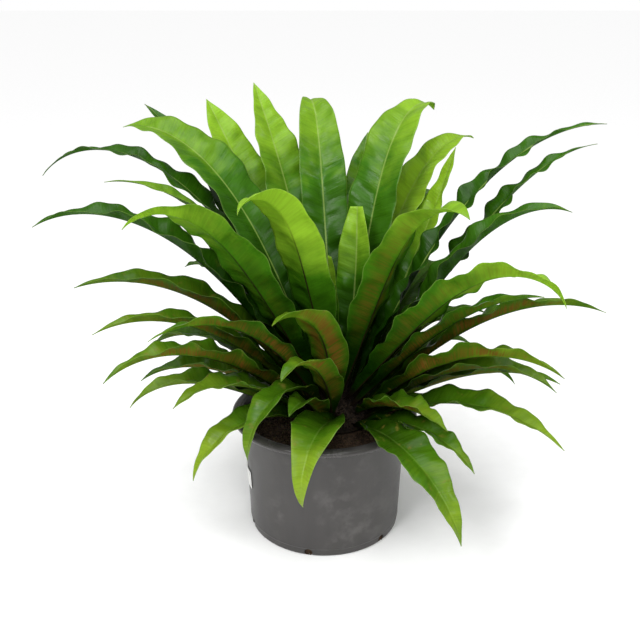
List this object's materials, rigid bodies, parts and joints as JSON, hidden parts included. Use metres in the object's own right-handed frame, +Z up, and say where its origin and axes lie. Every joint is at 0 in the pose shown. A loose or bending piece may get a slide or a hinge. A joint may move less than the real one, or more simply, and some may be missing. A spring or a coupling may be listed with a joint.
{
  "type": "potted osaka bird's nest fern",
  "caption": "Bird's nest fern with wavy, arching strap fronds spreading from a scaly crown, standing in a filled round grey nursery pot.",
  "frame": {"origin": "centre of the pot's flat underside, which rests on the surface", "axes": "+Z up out of the pot; -Y towards the side that the picture shows; +X to that view's right"},
  "size_m": [0.7997, 0.5728, 0.6205],
  "materials": {
    "pot_plastic": "satin, dark warm grey",
    "potting_mix": "crumbly, near black brown",
    "label": "matt, plain white",
    "crown": "matt, dark brown scales",
    "young_frond": "glossy yellow green",
    "mature_frond": "glossy mid green",
    "old_frond": "glossy dark green"
  },
  "bodies": {
    "root": {"nursery_pot": "pot_plastic", "potting_mix": "potting_mix", "pot_label": "label", "crown": "crown", "heart_frond_1": "young_frond", "heart_frond_2": "young_frond", "heart_frond_3": "young_frond", "heart_frond_4": "young_frond", "heart_frond_5": "young_frond", "inner_frond_1": "young_frond", "inner_frond_2": "young_frond", "inner_frond_3": "young_frond", "inner_frond_4": "young_frond", "inner_frond_5": "young_frond", "inner_frond_6": "young_frond", "inner_frond_7": "young_frond", "middle_frond_1": "mature_frond", "middle_frond_2": "mature_frond", "middle_frond_3": "mature_frond", "middle_frond_4": "mature_frond", "middle_frond_5": "mature_frond", "middle_frond_6": "mature_frond", "middle_frond_7": "mature_frond", "middle_frond_8": "mature_frond", "middle_frond_9": "mature_frond", "middle_frond_10": "mature_frond", "middle_frond_11": "mature_frond", "outer_frond_1": "old_frond", "outer_frond_2": "old_frond", "outer_frond_3": "old_frond", "outer_frond_4": "old_frond", "outer_frond_5": "old_frond", "outer_frond_6": "old_frond", "outer_frond_7": "old_frond", "outer_frond_8": "old_frond", "outer_frond_9": "old_frond", "outer_frond_10": "old_frond", "outer_frond_11": "old_frond", "outer_frond_12": "old_frond", "outer_frond_13": "old_frond", "outer_frond_14": "old_frond", "outer_frond_15": "old_frond", "low_frond_1": "old_frond", "low_frond_2": "old_frond", "low_frond_3": "old_frond", "low_frond_4": "old_frond", "low_frond_5": "old_frond", "low_frond_6": "old_frond", "low_frond_7": "old_frond", "low_frond_8": "old_frond", "low_frond_9": "old_frond", "low_frond_10": "old_frond", "low_frond_11": "old_frond", "low_frond_12": "old_frond", "low_frond_13": "old_frond", "low_frond_14": "old_frond", "low_frond_15": "old_frond", "low_frond_16": "old_frond", "low_frond_17": "old_frond", "low_frond_18": "old_frond"}
  },
  "joints": []
}
